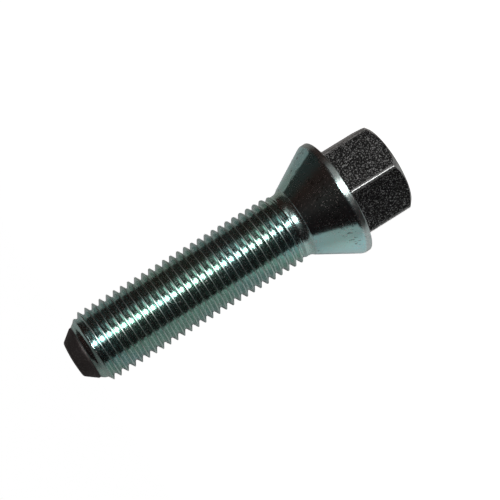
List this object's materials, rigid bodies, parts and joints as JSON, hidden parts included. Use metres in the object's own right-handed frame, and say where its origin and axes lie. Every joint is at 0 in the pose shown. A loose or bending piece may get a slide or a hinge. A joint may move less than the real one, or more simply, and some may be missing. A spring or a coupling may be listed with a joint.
{
  "type": "wheel bolt",
  "caption": "One-piece wheel bolt with a hexagon head, a conical seat and a fully threaded shank with a rounded tip, standing on its head.",
  "frame": {"origin": "centre of the flat end face of the hexagon head, on which the bolt stands", "axes": "+Z along the bolt's axis toward the threaded tip; -Y points through one corner of the hexagon, the side that the picture shows"},
  "size_m": [0.023, 0.023, 0.0682],
  "materials": {
    "zinc_steel": "bright zinc plating with a faint blue-green passivation, lightly scratched on the seat"
  },
  "bodies": {
    "root": {"wheel_bolt": "zinc_steel"}
  },
  "joints": []
}
